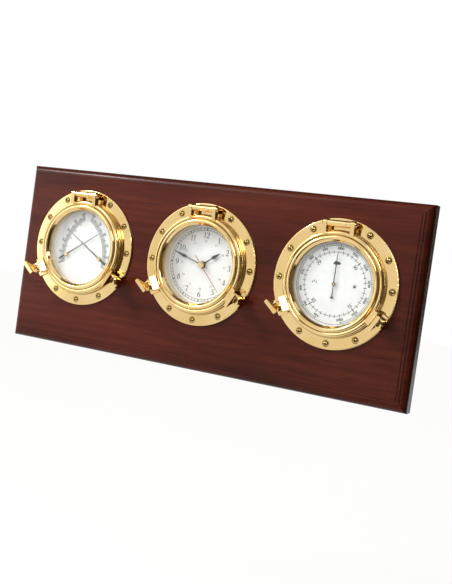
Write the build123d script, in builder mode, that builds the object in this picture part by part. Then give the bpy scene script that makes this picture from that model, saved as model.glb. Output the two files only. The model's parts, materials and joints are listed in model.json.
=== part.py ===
from build123d import *
from math import cos, pi, radians, sin
import os

# A ship's weather station on a wall plaque: a moulded hardwood board with three brass portholes
# in a row, a comfort meter, a quartz clock and an aneroid barometer. Millimetres, +Z up, the front
# faces -Y. The origin is on the back face, midway between the seats of the two hanging slots.

# Board: it grows from the three portholes, by the gap between their flanges and the margins round them
flange_gap = 23.0
end_margin = 23.5
top_margin = 24.4
bottom_margin = 51.6
board_thickness = 22.0
ovolo_radius = 7.5
ovolo_margin = 8.4
shelf_width = 3.2
shelf_drop = 1.1
field_drop = 0.9
hanger_drop = 24.0
hanger_inset = 56.5

# Clearances
seat_gap = 0.2
running_fit = 0.06
loose_fit = 0.5
overrun = 1.0

# Hanging plates in the back of the board
plate_width = 18.0
plate_height = 44.0
plate_thickness = 2.0
plate_drop = 8.0
slot_radius = 2.6
slot_travel = 14.0
entry_radius = 5.0
pocket_depth = 6.0
pocket_wall = 1.6
plate_screw_inset = 5.0
plate_screw_head_radius = 3.2
plate_screw_head_depth = 1.5
plate_screw_shank_radius = 1.5
plate_screw_length = 11.0
plate_screw_slot_width = 0.9
plate_screw_slot_depth = 0.7

# Dials and the cans behind them; every other radius of a porthole grows outwards from the dial
dial_radius = 45.3
dial_gap = 0.3
dial_thickness = 0.8
dial_ledge_width = 3.0
dial_ledge_thickness = 0.8
case_wall = 0.8
case_rim_width = 3.2
case_rim_thickness = 0.8
case_back_gap = 1.0
comfort_dial_level = -1.6
clock_dial_level = -6.4
barometer_dial_level = 1.3
vent_radius = 2.0
vent_circle_radius = 30.0
vent_count = 8

# Glass and the spring ring behind it
glass_thickness = 2.0
glass_lap = 1.8
glass_lip = 0.9
glass_ring_width = 1.7
glass_ring_thickness = 1.4

# Bezel: a sloping lip, a rounded ring, a groove and a shoulder, with a skirt behind
ring_slope_width = 1.8
ring_slope_drop = 1.9
ring_width = 4.9
ring_rise = 2.5
ring_lip_rise = 1.3
groove_width = 0.7
groove_drop = 0.5
shoulder_width = 4.0
shoulder_rise = 2.3
bezel_wall_height = 1.2
skirt_wall = 3.6
skirt_length = 2.6
arm_centre = 15.4
arm_thickness = 4.3
arm_eye_radius = 4.2
arm_lap = 4.8
arm_depth = 6.0

# Base ring of a porthole: flange, collar, hinge knuckle and dog bosses
flange_width = 13.2
flange_thickness = 2.5
flange_round = 1.1
collar_margin = 0.6
collar_height = 4.5
collar_round = 0.8
skirt_gap = 0.8
bore_margin = 0.6
hinge_offset = 6.6
hinge_lift = 0.5
knuckle_radius = 3.5
knuckle_groove_width = 0.7
knuckle_groove_depth = 0.4
knuckle_groove_place = 7.4
knuckle_foot_half = 4.4
pin_radius = 1.7
pin_head_radius = 3.1
pin_head_length = 2.3
boss_length = 11.3
boss_width = 18.0
boss_gap = 0.7
socket_radius = 2.7
socket_floor = 1.3

# Flange screws, at every hour but the hinge and the two dogs
screw_edge = 6.4
screw_head_radius = 3.4
screw_head_height = 2.3
screw_shank_radius = 1.6
screw_length = 13.0
recess_length = 3.8
recess_width = 0.9
recess_depth = 1.2
hour_angle = 30.0
hour_count = 12
hinge_angle = 90.0

# Dogs: wing screws held captive in two ears of the bezel
dog_angles = {"left": 210.0, "right": 330.0}
dog_turns = {"left": 18.0, "right": 0.0}
dog_edge = 4.0
ear_width = 17.0
ear_step = 0.4
ear_depth = 7.5
ear_slope_drop = 4.6
ear_lift = 0.8
ear_round = 0.7
tongue_radius = 5.4
tongue_thickness = 5.0
dog_shank_radius = 2.5
dog_tip_radius = 2.3
dog_tip_gap = 1.9
dog_keeper_radius = 3.9
dog_keeper_thickness = 1.1
dog_collar_radius = 5.2
dog_collar_height = 2.4
dog_neck_radius = 2.7
dog_waist_height = 4.0
dog_wing_bite = 2.0
dog_wing_height = 10.0
dog_wing_half_start = 2.4
dog_wing_half_width = 8.2
dog_wing_thickness = 2.8
dog_bar_depth = 2.8
dog_bar_half_length = 8.9
dog_bar_thickness = 4.0
dog_bar_round = 1.2

# Clock movement
movement_width = 56.0
movement_depth = 13.3
movement_wall = 1.2
bush_radius = 3.5
bush_rise = 1.5
nut_radius = 4.5
nut_thickness = 1.2
hour_tube_radius = 1.9
minute_tube_radius = 1.25
second_arbor_radius = 0.6
tube_fit = 0.06
gear_module = 0.5
gear_thickness = 1.2
gear_gap = 0.6
minute_pinion_teeth = 10
setting_wheel_teeth = 30
setting_pinion_teeth = 8
hour_wheel_teeth = 32
second_wheel_radius = 6.0
setting_shaft_radius = 1.1
setting_knob_radius = 5.0
setting_knob_thickness = 1.0
battery_radius = 5.2
battery_length = 43.6
battery_nub_radius = 1.9
battery_nub_length = 0.9
motor_inset = 10.0
motor_rise = 8.0
motor_coil_radius = 3.2
motor_coil_length = 15.0
motor_cheek_half = 3.8
motor_cheek_thickness = 1.0
motor_core_width = 2.4
motor_core_length = 22.0

# Clock hands: clock angles in degrees past twelve, heights above the dial
hour_hand_angle = 54.0
minute_hand_angle = 288.0
second_hand_angle = 138.0
hour_hand_length = 25.9
minute_hand_length = 38.7
second_hand_length = 37.4
second_hand_tail = 12.8
hand_thickness = 0.5
hour_hand_height = 2.2
minute_hand_height = 3.5
second_hand_height = 4.8
hour_hub_radius = 4.4
minute_hub_radius = 3.6
second_hub_radius = 2.2
hour_hand_root = 1.0
hour_hand_swell = 2.2
minute_hand_root = 0.8
minute_hand_swell = 1.8
second_hand_root = 0.4
hand_tip = 0.25
swell_share = 0.64
swell_neck_share = 0.52
cap_radius = 3.9
cap_height = 1.6
cap_taper_angle = 30.0

# Comfort meter: two needles that cross, each on a bimetal coil's arbor
comfort_pivot_spread = 24.0
comfort_pivot_drop = 10.9
temperature_needle_angle = 148.6
temperature_needle_length = 50.7
temperature_needle_height = 1.3
humidity_needle_angle = 33.7
humidity_needle_length = 52.9
humidity_needle_height = 2.5
needle_tail = 11.5
needle_tail_half = 1.0
needle_root_half = 0.7
needle_hub_radius = 2.4
arbor_radius = 1.0
arbor_cap_radius = 2.5
arbor_cap_height = 0.9
arbor_cap_taper_angle = 20.0
coil_inner_radius = 1.9
coil_pitch = 1.2
coil_turn_count = 5
coil_strip = 0.5
coil_height = 4.0
coil_drop = 3.0
bracket_drop = 9.0
bracket_length = 30.0
bracket_width = 8.0
bracket_thickness = 1.2
bracket_post_radius = 1.5
bracket_post_spread = 13.0

# Barometer
pointer_angle = 90.0
pointer_length = 32.0
pointer_tail = 16.0
pointer_height = 2.0
pointer_root_half = 0.5
pointer_lozenge_half = 1.1
pointer_lozenge_share = 0.66
pointer_hub_radius = 1.9
fletch_half_width = 2.9
fletch_length = 3.6
fletch_notch = 1.6
barometer_module = 0.4
barometer_pinion_teeth = 10
sector_wheel_teeth = 100
sector_cut_teeth = 12
sector_hub_radius = 3.0
sector_drop = 8.0
sector_thickness = 1.2
sector_pivot_radius = 1.2
capsule_radius = 22.0
capsule_thickness = 6.0
capsule_rib = 0.8
capsule_rib_count = 3
capsule_stem_radius = 2.6
bridge_width = 14.0
bridge_thickness = 1.2
bridge_drop = 11.0
bridge_post_radius = 2.0
bridge_top = 27.0
bridge_bottom = 31.0

# Gear teeth, as shares of the module or of the tooth pitch
tooth_dedendum_share = 1.15
tooth_addendum_share = 0.7
tooth_root_share = 0.29
tooth_tip_share = 0.13

# Worked out: radii of a porthole, from the dial outwards
case_inner_radius = dial_radius + dial_gap
case_radius = case_inner_radius + case_wall
case_rim_radius = case_radius + case_rim_width
hole_radius = case_radius + loose_fit
bore_radius = case_radius + bore_margin
glass_radius = case_radius + seat_gap
glass_ring_radius = glass_radius - glass_ring_width
opening_radius = glass_radius - glass_lap
ring_inner_radius = opening_radius + ring_slope_width
ring_outer_radius = ring_inner_radius + ring_width
shoulder_radius = ring_outer_radius + groove_width
bezel_radius = shoulder_radius + shoulder_width
skirt_inner_radius = glass_radius + seat_gap
skirt_radius = skirt_inner_radius + skirt_wall
collar_inner_radius = skirt_radius + skirt_gap
collar_radius = bezel_radius + collar_margin
flange_radius = collar_radius + flange_width
screw_circle_radius = flange_radius - screw_edge
hinge_rise = collar_radius + hinge_offset
dog_radius = flange_radius - dog_edge
ear_start = shoulder_radius + ear_step
ear_end = ear_start + ear_depth
arm_foot = bezel_radius - arm_lap

# Worked out: the board and the places on it
instrument_spacing = 2 * flange_radius + flange_gap
board_width = 2 * (instrument_spacing + flange_radius + end_margin)
board_height = 2 * flange_radius + top_margin + bottom_margin
hanger_spacing = board_width - 2 * hanger_inset
board_middle = hanger_drop - board_height / 2
instrument_height = hanger_drop - top_margin - flange_radius

# Worked out: heights of a porthole above the board's face
case_back = -(board_thickness - case_back_gap)
collar_top = flange_thickness + collar_height
bezel_seat = collar_top + seat_gap
bezel_wall_top = bezel_seat + bezel_wall_height
shoulder_top = bezel_wall_top + shoulder_rise
ring_foot = shoulder_top - groove_drop
ring_crown = ring_foot + ring_rise
ring_inner_height = ring_foot + ring_lip_rise
opening_height = ring_inner_height - ring_slope_drop
glass_top = opening_height - glass_lip
glass_bottom = glass_top - glass_thickness
skirt_bottom = bezel_seat - skirt_length
hinge_height = shoulder_top + hinge_lift
knuckle_half = arm_centre - arm_thickness / 2 - seat_gap
arm_outside = arm_centre + arm_thickness / 2
ear_bottom = bezel_seat + ear_lift
tongue_top = ear_bottom + tongue_thickness
dog_keeper_top = ear_bottom - seat_gap
dog_keeper_bottom = dog_keeper_top - dog_keeper_thickness
boss_top = dog_keeper_bottom - boss_gap
dog_tip_bottom = socket_floor + dog_tip_gap
dog_collar_bottom = tongue_top + seat_gap
dog_collar_top = dog_collar_bottom + dog_collar_height
dog_neck_top = dog_collar_top + dog_waist_height
dog_wing_start = dog_neck_top - dog_wing_bite
ear_top = dog_wing_start + seat_gap
ear_inner_top = ear_top - ear_slope_drop
dog_bar_bottom = dog_wing_start + dog_wing_height
dog_bar_top = dog_bar_bottom + dog_bar_depth

# Worked out: wheels
setting_distance = gear_module * (minute_pinion_teeth + setting_wheel_teeth) / 2
movement_front = clock_dial_level - dial_thickness
movement_back = movement_front - movement_depth
hour_wheel_top = movement_front - movement_wall - gear_gap
minute_pinion_top = hour_wheel_top - gear_thickness - gear_gap
second_wheel_top = minute_pinion_top - gear_thickness - gear_gap
sector_radius = barometer_module * sector_wheel_teeth / 2
sector_distance = sector_radius + barometer_module * barometer_pinion_teeth / 2

os.makedirs("parts", exist_ok=True)


def keep(piece, name):
    """Label a finished piece and write its file."""
    piece.part.label = name
    export_step(piece.part, f"parts/{name}.step")


def instrument_face(place):
    """The plane of the board's face at an instrument: x right, y up, z towards the viewer."""
    centre = (place * instrument_spacing, -board_thickness, instrument_height)
    return Plane(origin=centre, x_dir=(1, 0, 0), z_dir=(0, -1, 0))


def turned(face, angle, x=0, y=0, z=0):
    """A plane parallel to the face at a point of it, with its x axis turned by the angle."""
    way = face.x_dir * cos(radians(angle)) + face.y_dir * sin(radians(angle))
    return Plane(origin=face.from_local_coords((x, y, z)), x_dir=way, z_dir=face.z_dir)


def upright(plane):
    """The plane through the same origin whose y axis rises from the face along its normal."""
    return Plane(origin=plane.origin, x_dir=plane.x_dir, z_dir=plane.x_dir.cross(plane.z_dir))


def across(face, x):
    """A plane square to the hinge line: its x axis runs up the face, its y axis out of it."""
    return Plane(origin=face.from_local_coords((x, 0, 0)), x_dir=face.y_dir, z_dir=face.x_dir)


def spindle(plane):
    """The axis out of the face through a plane's origin."""
    return Axis(plane.origin, plane.z_dir)


def polar(radius, angle):
    """A point on the face by radius and angle."""
    return (radius * cos(radians(angle)), radius * sin(radians(angle)))


def gear_sketch(teeth, module, start):
    """Add a plain toothed wheel to the sketch that is open."""
    pitch = pi * module
    root = module * (teeth / 2 - tooth_dedendum_share)
    tip = module * (teeth / 2 + tooth_addendum_share)
    foot = root - module * tooth_dedendum_share / 2
    wide = pitch * tooth_root_share
    narrow = pitch * tooth_tip_share
    Circle(root)
    with PolarLocations(0, teeth, start_angle=start):
        Polygon((foot, -wide), (tip, -narrow), (tip, narrow), (foot, wide), align=None)


def screw_places():
    """The flange screws' places on the face."""
    taken = {hinge_angle, *dog_angles.values()}
    angles = [hour * hour_angle for hour in range(hour_count)]
    return [polar(screw_circle_radius, angle) for angle in angles if angle not in taken]


# The board, its hanging plates and their screws

back_plane = Plane(origin=(0, 0, board_middle), x_dir=(1, 0, 0), z_dir=(0, -1, 0))
hanger_plane = Plane(origin=(0, 0, 0), x_dir=(1, 0, 0), z_dir=(0, -1, 0))
faces_by_name = {
    "comfort": instrument_face(-1),
    "clock": instrument_face(0),
    "barometer": instrument_face(1),
}
hanger_places = [(side * hanger_spacing / 2, 0) for side in (-1, 1)]
plate_places = [(x, -plate_drop) for x, _ in hanger_places]
entry_places = [(x, -slot_travel) for x, _ in hanger_places]
plate_screw_reach = plate_height / 2 - plate_screw_inset
plate_screw_places = [
    (x, y + side * plate_screw_reach) for x, y in plate_places for side in (-1, 1)
]
ledge_level = board_thickness - shelf_drop - field_drop
shelf_level = board_thickness - field_drop

with BuildPart() as plaque_board:
    with BuildSketch(back_plane):
        Rectangle(board_width, board_height)
    extrude(amount=ledge_level)
    fillet(plaque_board.faces().sort_by(Axis.Y)[0].edges(), radius=ovolo_radius)
    with BuildSketch(back_plane.offset(ledge_level)):
        Rectangle(board_width - 2 * ovolo_margin, board_height - 2 * ovolo_margin)
    extrude(amount=shelf_drop)
    field_margin = ovolo_margin + shelf_width
    with BuildSketch(back_plane.offset(shelf_level)):
        Rectangle(board_width - 2 * field_margin, board_height - 2 * field_margin)
    extrude(amount=field_drop)
    for face in faces_by_name.values():
        with BuildSketch(face.offset(overrun)):
            Circle(hole_radius)
        extrude(amount=-(board_thickness + 2 * overrun), mode=Mode.SUBTRACT)
        with BuildSketch(face):
            with Locations(*screw_places()):
                Circle(screw_shank_radius + running_fit)
        extrude(amount=-screw_length, mode=Mode.SUBTRACT)
    with BuildSketch(hanger_plane):
        with Locations(*plate_places):
            Rectangle(plate_width + 2 * seat_gap, plate_height + 2 * seat_gap)
    extrude(amount=plate_thickness, mode=Mode.SUBTRACT)
    with BuildSketch(hanger_plane.offset(plate_thickness)):
        with Locations(*[(x, -slot_travel / 2) for x, _ in hanger_places]):
            Rectangle(2 * (entry_radius + pocket_wall), slot_travel + 2 * (entry_radius + pocket_wall))
    extrude(amount=pocket_depth, mode=Mode.SUBTRACT)
    with BuildSketch(hanger_plane.offset(plate_thickness)):
        with Locations(*plate_screw_places):
            Circle(plate_screw_shank_radius + running_fit)
    extrude(amount=plate_screw_length, mode=Mode.SUBTRACT)
keep(plaque_board, "plaque_board")

with BuildPart() as keyhole_plates:
    with BuildSketch(hanger_plane):
        with Locations(*plate_places):
            Rectangle(plate_width, plate_height)
        with Locations(*entry_places):
            Circle(entry_radius, mode=Mode.SUBTRACT)
        with Locations(*[(x, -slot_travel / 2) for x, _ in hanger_places]):
            SlotCenterToCenter(slot_travel, 2 * slot_radius, rotation=90, mode=Mode.SUBTRACT)
    extrude(amount=plate_thickness)
    with BuildSketch(hanger_plane):
        with Locations(*plate_screw_places):
            Circle(plate_screw_head_radius + seat_gap)
    extrude(amount=plate_screw_head_depth, mode=Mode.SUBTRACT)
    with BuildSketch(hanger_plane):
        with Locations(*plate_screw_places):
            Circle(plate_screw_shank_radius + seat_gap)
    extrude(amount=plate_thickness, mode=Mode.SUBTRACT)
keep(keyhole_plates, "keyhole_plates")

with BuildPart() as keyhole_screws:
    with BuildSketch(hanger_plane):
        with Locations(*plate_screw_places):
            Circle(plate_screw_head_radius)
    extrude(amount=plate_screw_head_depth)
    with BuildSketch(hanger_plane):
        with Locations(*plate_screw_places):
            Circle(plate_screw_shank_radius)
    extrude(amount=plate_screw_length)
    with BuildSketch(hanger_plane):
        with Locations(*plate_screw_places):
            Rectangle(2 * plate_screw_head_radius + overrun, plate_screw_slot_width)
    extrude(amount=plate_screw_slot_depth, mode=Mode.SUBTRACT)
keep(keyhole_screws, "keyhole_screws")


# The pieces that every porthole has


def make_base_ring(face, name):
    """Flange and collar in one casting, with the hinge knuckle and the bosses for the dogs."""
    rebate_radius = case_rim_radius + seat_gap
    with BuildPart() as base_ring:
        with BuildSketch(upright(face)):
            with BuildLine():
                Polyline(
                    (rebate_radius, 0),
                    (flange_radius, 0),
                    (flange_radius, flange_thickness),
                    (collar_radius, flange_thickness),
                    (collar_radius, collar_top),
                    (collar_inner_radius, collar_top),
                    (collar_inner_radius, flange_thickness),
                    (bore_radius, flange_thickness),
                    (bore_radius, case_rim_thickness),
                    (rebate_radius, case_rim_thickness),
                    close=True,
                )
            make_face()
        revolve(axis=spindle(face))
        circles = base_ring.edges().filter_by(GeomType.CIRCLE)
        flange_rim = circles.group_by(SortBy.RADIUS)[-1].sort_by(Axis.Y)[0]
        fillet(flange_rim, radius=flange_round)
        collar_rims = base_ring.edges().filter_by(GeomType.CIRCLE).sort_by(Axis.Y)[:2]
        fillet(collar_rims, radius=collar_round)
        with BuildSketch(across(face, -knuckle_half)):
            with Locations((hinge_rise, hinge_height)):
                Circle(knuckle_radius)
            Polygon(
                (hinge_rise - knuckle_foot_half, flange_thickness / 2),
                (hinge_rise + knuckle_foot_half, flange_thickness / 2),
                (hinge_rise + knuckle_radius, hinge_height),
                (hinge_rise - knuckle_radius, hinge_height),
                align=None,
            )
        extrude(amount=2 * knuckle_half)
        with BuildSketch(across(face, knuckle_groove_place)):
            with Locations((hinge_rise, hinge_height)):
                Circle(knuckle_radius + overrun)
                Circle(knuckle_radius - knuckle_groove_depth, mode=Mode.SUBTRACT)
            with Locations((hinge_rise, hinge_height / 2)):
                Rectangle(2 * hinge_height, hinge_height, mode=Mode.SUBTRACT)
        extrude(amount=knuckle_groove_width, mode=Mode.SUBTRACT)
        with BuildSketch(across(face, -knuckle_half)):
            with Locations((hinge_rise, hinge_height)):
                Circle(pin_radius)
        extrude(amount=2 * knuckle_half, mode=Mode.SUBTRACT)
        for angle in dog_angles.values():
            dog_face = turned(face, angle)
            with BuildSketch(dog_face.offset(flange_thickness / 2)):
                Circle(flange_radius)
                with Locations((flange_radius, 0)):
                    Rectangle(2 * boss_length, boss_width, mode=Mode.INTERSECT)
            extrude(amount=boss_top - flange_thickness / 2)
            with BuildSketch(dog_face.offset(boss_top)):
                with Locations((dog_radius, 0)):
                    Circle(socket_radius)
            extrude(amount=socket_floor - boss_top, mode=Mode.SUBTRACT)
        with BuildSketch(face):
            with Locations(*screw_places()):
                Circle(screw_shank_radius + running_fit)
        extrude(amount=flange_thickness, mode=Mode.SUBTRACT)
    keep(base_ring, name)


def make_flange_screws(face, name):
    """Nine domed screws with cross recesses, one group."""
    dome_radius = (screw_head_radius**2 + screw_head_height**2) / (2 * screw_head_height)
    crown = flange_thickness + screw_head_height
    with BuildPart() as flange_screws:
        with BuildSketch(face.offset(-screw_length)):
            with Locations(*screw_places()):
                Circle(screw_shank_radius)
        extrude(amount=screw_length + flange_thickness)
        for x, y in screw_places():
            centre = turned(face, 0, x, y)
            with BuildSketch(upright(centre)):
                with BuildLine():
                    Polyline((0, crown), (0, flange_thickness), (screw_head_radius, flange_thickness))
                    RadiusArc((screw_head_radius, flange_thickness), (0, crown), -dome_radius)
                make_face()
            revolve(axis=spindle(centre))
        with BuildSketch(face.offset(crown - recess_depth)):
            with Locations(*screw_places()):
                Rectangle(recess_length, recess_width)
                Rectangle(recess_width, recess_length)
        extrude(amount=recess_depth, mode=Mode.SUBTRACT)
    keep(flange_screws, name)


def make_case(face, name, dial_level, open_back):
    """The drawn can behind the flange, with the ledge that the dial lies on."""
    ledge_top = dial_level - dial_thickness
    ledge_radius = case_inner_radius - dial_ledge_width
    with BuildPart() as case:
        with BuildSketch(upright(face)):
            with BuildLine():
                Polyline(
                    (case_inner_radius, case_rim_thickness),
                    (case_rim_radius, case_rim_thickness),
                    (case_rim_radius, 0),
                    (case_radius, 0),
                    (case_radius, case_back),
                    (0, case_back),
                    (0, case_back + case_wall),
                    (case_inner_radius, case_back + case_wall),
                    (case_inner_radius, ledge_top - dial_ledge_thickness),
                    (ledge_radius, ledge_top - dial_ledge_thickness),
                    (ledge_radius, ledge_top),
                    (case_inner_radius, ledge_top),
                    close=True,
                )
            make_face()
        revolve(axis=spindle(face))
        with BuildSketch(face.offset(case_back)):
            if open_back:
                Rectangle(movement_width + 2 * loose_fit, movement_width + 2 * loose_fit)
            else:
                with PolarLocations(vent_circle_radius, vent_count):
                    Circle(vent_radius)
        extrude(amount=case_wall, mode=Mode.SUBTRACT)
    keep(case, name)


def make_bezel(face, name):
    """The hinged glass frame: a shouldered ring with two hinge arms and two ears."""
    crown_radius = (ring_outer_radius + ring_inner_radius) / 2
    with BuildPart() as bezel:
        with BuildSketch(upright(face)):
            with BuildLine():
                Polyline(
                    (ring_inner_radius, ring_inner_height),
                    (opening_radius, opening_height),
                    (opening_radius, glass_top),
                    (skirt_inner_radius, glass_top),
                    (skirt_inner_radius, skirt_bottom),
                    (skirt_radius, skirt_bottom),
                    (skirt_radius, bezel_seat),
                    (bezel_radius, bezel_seat),
                    (bezel_radius, bezel_wall_top),
                )
                TangentArc((bezel_radius, bezel_wall_top), (shoulder_radius, shoulder_top), tangent=(0, 1))
                Polyline((shoulder_radius, shoulder_top), (ring_outer_radius, ring_foot))
                ThreePointArc(
                    (ring_outer_radius, ring_foot),
                    (crown_radius, ring_crown),
                    (ring_inner_radius, ring_inner_height),
                )
            make_face()
        revolve(axis=spindle(face))
        for side in (-1, 1):
            with BuildSketch(across(face, side * arm_centre - arm_thickness / 2)):
                with Locations((hinge_rise, hinge_height)):
                    Circle(arm_eye_radius)
                Polygon(
                    (arm_foot, ear_bottom),
                    (hinge_rise, hinge_height - arm_eye_radius),
                    (hinge_rise, hinge_height + arm_eye_radius),
                    (arm_foot, ear_bottom + arm_depth),
                    align=None,
                )
            extrude(amount=arm_thickness)
        with BuildSketch(across(face, -arm_outside)):
            with Locations((hinge_rise, hinge_height)):
                Circle(pin_radius + running_fit)
        extrude(amount=2 * arm_outside, mode=Mode.SUBTRACT)
        for angle in dog_angles.values():
            ear_face = turned(face, angle)
            with BuildSketch(upright(ear_face)):
                Polygon(
                    (ear_start, ear_bottom),
                    (ear_end, ear_bottom),
                    (ear_end, ear_top),
                    (ear_start, ear_inner_top),
                    align=None,
                )
            extrude(amount=ear_width / 2, both=True)
            ear_edges = bezel.faces(Select.LAST).sort_by(Axis.Y)[0].edges()
            fillet(ear_edges, radius=ear_round)
            with BuildSketch(ear_face.offset(ear_bottom)):
                with Locations((dog_radius, 0)):
                    Circle(tongue_radius)
                with Locations(((dog_radius + ear_start) / 2, 0)):
                    Rectangle(dog_radius - ear_start, 2 * tongue_radius)
            extrude(amount=tongue_top - ear_bottom)
            with BuildSketch(ear_face.offset(ear_bottom)):
                with Locations((dog_radius, 0)):
                    Circle(dog_shank_radius + running_fit)
            extrude(amount=tongue_top - ear_bottom, mode=Mode.SUBTRACT)
    keep(bezel, name)


def make_glass(face, name):
    """The flat glass, seated from behind in the bezel."""
    with BuildPart() as glass:
        with BuildSketch(face.offset(glass_bottom)):
            Circle(glass_radius)
        extrude(amount=glass_thickness)
    keep(glass, name)


def make_glass_ring(face, name):
    """The split spring ring that holds the glass in."""
    split_width = 2 * glass_ring_thickness
    with BuildPart() as glass_ring:
        with BuildSketch(face.offset(glass_bottom - glass_ring_thickness)):
            Circle(glass_radius)
            Circle(glass_ring_radius, mode=Mode.SUBTRACT)
            with Locations((0, -glass_radius)):
                Rectangle(split_width, glass_radius, mode=Mode.SUBTRACT)
        extrude(amount=glass_ring_thickness)
    keep(glass_ring, name)


def make_hinge_pin(face, name):
    """The hinge pin with a domed head at each end."""
    head_sphere = (pin_head_radius**2 + pin_head_length**2) / (2 * pin_head_length)
    line = Plane(
        origin=face.from_local_coords((0, hinge_rise, hinge_height)), x_dir=face.x_dir, z_dir=-face.y_dir
    )
    with BuildPart() as hinge_pin:
        with BuildSketch(across(face, -arm_outside)):
            with Locations((hinge_rise, hinge_height)):
                Circle(pin_radius)
        extrude(amount=2 * arm_outside)
        for side in (-1, 1):
            inside = (side * arm_outside, 0)
            rim = (side * arm_outside, pin_head_radius)
            crown = (side * (arm_outside + pin_head_length), 0)
            with BuildSketch(line):
                with BuildLine():
                    Polyline(crown, inside, rim)
                    RadiusArc(rim, crown, side * head_sphere)
                make_face()
            revolve(axis=Axis(line.origin, line.x_dir))
    keep(hinge_pin, name)


def make_dial(face, name, dial_level, holes):
    """A dial plate on its ledge, with a hole for each arbor: (place, radius)."""
    with BuildPart() as dial:
        with BuildSketch(face.offset(dial_level)):
            Circle(dial_radius)
            for place, radius in holes:
                with Locations(place):
                    Circle(radius, mode=Mode.SUBTRACT)
        extrude(amount=-dial_thickness)
    keep(dial, name)


def make_dog(face, name, angle, turn):
    """A wing screw: plain tip, keeper under the ear, collar, waist and a flared wing with a bar."""
    x, y = polar(dog_radius, angle)
    axle = turned(face, angle + 90 + turn, x, y)
    with BuildPart() as dog:
        with BuildSketch(upright(axle)):
            with BuildLine():
                Polyline(
                    (dog_neck_radius, dog_neck_top),
                    (0, dog_neck_top),
                    (0, dog_tip_bottom),
                    (dog_tip_radius, dog_tip_bottom),
                    (dog_tip_radius, dog_keeper_bottom),
                    (dog_keeper_radius, dog_keeper_bottom),
                    (dog_keeper_radius, dog_keeper_top),
                    (dog_shank_radius, dog_keeper_top),
                    (dog_shank_radius, dog_collar_bottom),
                    (dog_collar_radius, dog_collar_bottom),
                    (dog_collar_radius, dog_collar_top),
                )
                TangentArc(
                    (dog_neck_radius, dog_neck_top), (dog_collar_radius, dog_collar_top), tangent=(0, -1)
                )
            make_face()
        revolve(axis=spindle(axle))
        with BuildSketch(upright(axle)):
            Polygon(
                (-dog_wing_half_start, dog_wing_start),
                (dog_wing_half_start, dog_wing_start),
                (dog_wing_half_width, dog_bar_bottom),
                (dog_wing_half_width, dog_bar_top),
                (-dog_wing_half_width, dog_bar_top),
                (-dog_wing_half_width, dog_bar_bottom),
                align=None,
            )
        extrude(amount=dog_wing_thickness / 2, both=True)
        with BuildSketch(axle.offset(dog_bar_bottom)):
            RectangleRounded(2 * dog_bar_half_length, dog_bar_thickness, dog_bar_round)
        extrude(amount=dog_bar_top - dog_bar_bottom)
    keep(dog, name)


def make_porthole(prefix, dial_level, dial_holes, open_back=False):
    """Every piece of one porthole."""
    face = faces_by_name[prefix]
    make_base_ring(face, f"{prefix}_base_ring")
    make_flange_screws(face, f"{prefix}_flange_screws")
    make_case(face, f"{prefix}_case", dial_level, open_back)
    make_bezel(face, f"{prefix}_bezel")
    make_glass(face, f"{prefix}_glass")
    make_glass_ring(face, f"{prefix}_glass_ring")
    make_hinge_pin(face, f"{prefix}_hinge_pin")
    make_dial(face, f"{prefix}_dial", dial_level, dial_holes)
    for side, angle in dog_angles.items():
        make_dog(face, f"{prefix}_{side}_dog", angle, dog_turns[side])


comfort_pivots = {
    "temperature": (comfort_pivot_spread, -comfort_pivot_drop),
    "humidity": (-comfort_pivot_spread, -comfort_pivot_drop),
}
arbor_holes = [(place, arbor_radius + running_fit) for place in comfort_pivots.values()]
make_porthole("comfort", comfort_dial_level, arbor_holes)
make_porthole("clock", clock_dial_level, [((0, 0), bush_radius + seat_gap)], open_back=True)
make_porthole("barometer", barometer_dial_level, [((0, 0), arbor_radius + running_fit)])


# The clock: movement, wheels and hands

clock_face = faces_by_name["clock"]
setting_place = (0, setting_distance)
setting_plane = turned(clock_face, 0, *setting_place)
lid_inside = movement_back + movement_wall
inner_width = movement_width - 2 * movement_wall
cell_middle = movement_front - movement_wall - seat_gap - battery_radius
cell_drop = inner_width / 2 - seat_gap - battery_radius

with BuildPart() as movement_case:
    with BuildSketch(clock_face.offset(movement_front)):
        Rectangle(movement_width, movement_width)
    extrude(amount=lid_inside - movement_front)
    with BuildSketch(clock_face.offset(lid_inside)):
        Rectangle(inner_width, inner_width)
    extrude(amount=movement_front - movement_wall - lid_inside, mode=Mode.SUBTRACT)
    with BuildSketch(clock_face.offset(movement_front - movement_wall)):
        Circle(bush_radius)
    extrude(amount=movement_wall + dial_thickness + bush_rise)
    with BuildSketch(clock_face.offset(movement_front - movement_wall)):
        Circle(hour_tube_radius + tube_fit)
    extrude(amount=movement_wall + dial_thickness + bush_rise, mode=Mode.SUBTRACT)
    with BuildSketch(setting_plane.offset(movement_front - movement_wall)):
        Circle(setting_shaft_radius + running_fit)
    extrude(amount=movement_wall / 2, mode=Mode.SUBTRACT)
keep(movement_case, "clock_movement_case")

with BuildPart() as movement_lid:
    with BuildSketch(clock_face.offset(lid_inside)):
        Rectangle(movement_width, movement_width)
        with Locations(setting_place):
            Circle(setting_shaft_radius + running_fit, mode=Mode.SUBTRACT)
    extrude(amount=-movement_wall)
keep(movement_lid, "clock_movement_lid")

with BuildPart() as battery:
    cell_plane = Plane(
        origin=clock_face.from_local_coords((-battery_length / 2, -cell_drop, cell_middle)),
        x_dir=clock_face.y_dir,
        z_dir=clock_face.x_dir,
    )
    with BuildSketch(cell_plane):
        Circle(battery_radius)
    extrude(amount=battery_length)
    with BuildSketch(cell_plane.offset(battery_length)):
        Circle(battery_nub_radius)
    extrude(amount=battery_nub_length)
keep(battery, "clock_battery")

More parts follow.
